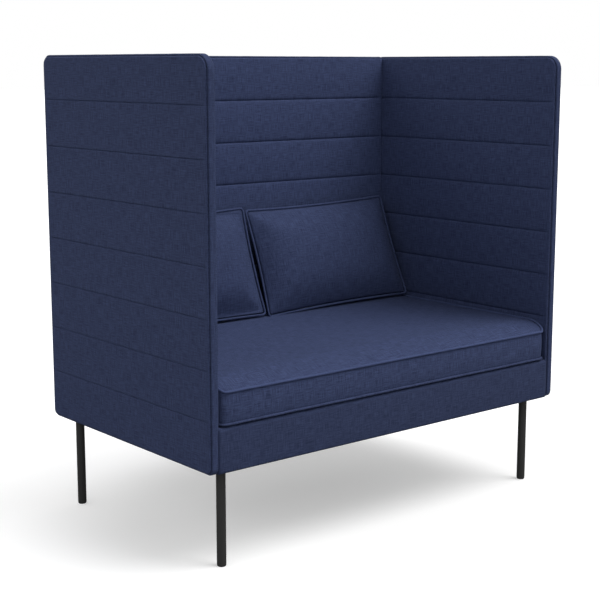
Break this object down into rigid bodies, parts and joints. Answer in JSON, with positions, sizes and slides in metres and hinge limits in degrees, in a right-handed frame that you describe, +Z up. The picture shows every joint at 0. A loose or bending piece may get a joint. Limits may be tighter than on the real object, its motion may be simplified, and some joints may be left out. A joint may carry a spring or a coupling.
{
  "type": "acoustic sofa",
  "caption": "High-sided acoustic sofa with tall quilted side and back panels, a piped seat cushion, loose back cushions and slim tube legs.",
  "frame": {"origin": "on the floor under the middle of the sofa", "axes": "+Z up, +X to the right of a person who faces the sofa, front towards -Y"},
  "size_m": [1.3, 0.79, 1.304],
  "materials": {
    "navy_weave": "matte",
    "navy_piping": "matte",
    "foam": "matte",
    "felt": "matte",
    "black_cloth": "matte",
    "plywood": "matte",
    "timber": "matte",
    "black_steel": "satin",
    "zinc_steel": "satin",
    "spring_steel": "satin",
    "black_plastic": "matte",
    "zip_tape": "matte",
    "zip_metal": "satin"
  },
  "bodies": {
    "sofa": {"left_panel_core": "plywood", "left_panel_foam": "foam", "left_panel_inner_cover": "navy_weave", "left_panel_outer_cover": "navy_weave", "left_panel_edge_band": "navy_weave", "right_panel_core": "plywood", "right_panel_foam": "foam", "right_panel_inner_cover": "navy_weave", "right_panel_outer_cover": "navy_weave", "right_panel_edge_band": "navy_weave", "back_panel_core": "plywood", "back_panel_foam": "foam", "back_panel_inner_cover": "navy_weave", "back_panel_outer_cover": "navy_weave", "back_panel_edge_band": "navy_weave", "panel_bolts": "zinc_steel", "panel_threaded_sleeves": "zinc_steel", "panel_spacers": "zinc_steel", "panel_hooks": "zinc_steel", "panel_keyhole_plates": "zinc_steel", "front_rail": "timber", "rear_rail": "timber", "side_rails": "timber", "centre_rail": "timber", "corner_blocks": "timber", "seat_springs": "spring_steel", "spring_clips": "zinc_steel", "deck_felt": "felt", "deck_cloth": "black_cloth", "apron_cover": "navy_weave", "apron_foam": "foam", "leg_plates": "black_steel", "leg_plugs": "black_plastic", "leg_plate_screws": "zinc_steel", "dust_cover": "black_cloth", "leg_front_left": "black_steel", "leg_front_right": "black_steel", "leg_rear_left": "black_steel", "leg_rear_right": "black_steel"},
    "seat_cushion": {"seat_foam": "foam", "seat_bottom_cover": "navy_weave", "seat_boxing": "navy_weave", "seat_top_cover": "navy_weave", "seat_piping": "navy_piping", "seat_zip": "zip_tape"},
    "seat_zip_slider": {"seat_zip_slider": "zip_metal"},
    "glide_front_left": {"glide_front_left": "black_plastic"},
    "glide_front_right": {"glide_front_right": "black_plastic"},
    "glide_rear_left": {"glide_rear_left": "black_plastic"},
    "glide_rear_right": {"glide_rear_right": "black_plastic"},
    "left_cushion": {"left_pad_filling": "foam", "left_pad_cover": "navy_weave", "left_pad_piping": "navy_piping", "left_pad_zip": "zip_tape"},
    "left_zip_slider": {"left_pad_zip_slider": "zip_metal"},
    "right_cushion": {"right_pad_filling": "foam", "right_pad_cover": "navy_weave", "right_pad_piping": "navy_piping", "right_pad_zip": "zip_tape"},
    "right_zip_slider": {"right_pad_zip_slider": "zip_metal"}
  },
  "joints": [
    {"name": "seat_cushion_pull", "type": "slide", "parent": "sofa", "child": "seat_cushion", "axis": [0, -1, 0], "range_m": [0, 0.75]},
    {"name": "seat_zip_run", "type": "slide", "parent": "seat_cushion", "child": "seat_zip_slider", "axis": [-1, 0, 0], "range_m": [0, 0.74]},
    {"name": "left_cushion_lift", "type": "slide", "parent": "sofa", "child": "left_cushion", "axis": [0, -0.9455, 0.3256], "range_m": [0, 0.85]},
    {"name": "left_zip_run", "type": "slide", "parent": "left_cushion", "child": "left_zip_slider", "axis": [-1, 0, 0], "range_m": [0, 0.29]},
    {"name": "right_cushion_lift", "type": "slide", "parent": "sofa", "child": "right_cushion", "axis": [0, -0.9455, 0.3256], "range_m": [0, 0.85]},
    {"name": "right_zip_run", "type": "slide", "parent": "right_cushion", "child": "right_zip_slider", "axis": [-1, 0, 0], "range_m": [0, 0.29]},
    {"name": "glide_front_left_screw", "type": "slide", "parent": "sofa", "child": "glide_front_left", "axis": [0, 0, -1], "range_m": [0, 0.01]},
    {"name": "glide_front_right_screw", "type": "slide", "parent": "sofa", "child": "glide_front_right", "axis": [0, 0, -1], "range_m": [0, 0.01]},
    {"name": "glide_rear_left_screw", "type": "slide", "parent": "sofa", "child": "glide_rear_left", "axis": [0, 0, -1], "range_m": [0, 0.01]},
    {"name": "glide_rear_right_screw", "type": "slide", "parent": "sofa", "child": "glide_rear_right", "axis": [0, 0, -1], "range_m": [0, 0.01]}
  ]
}
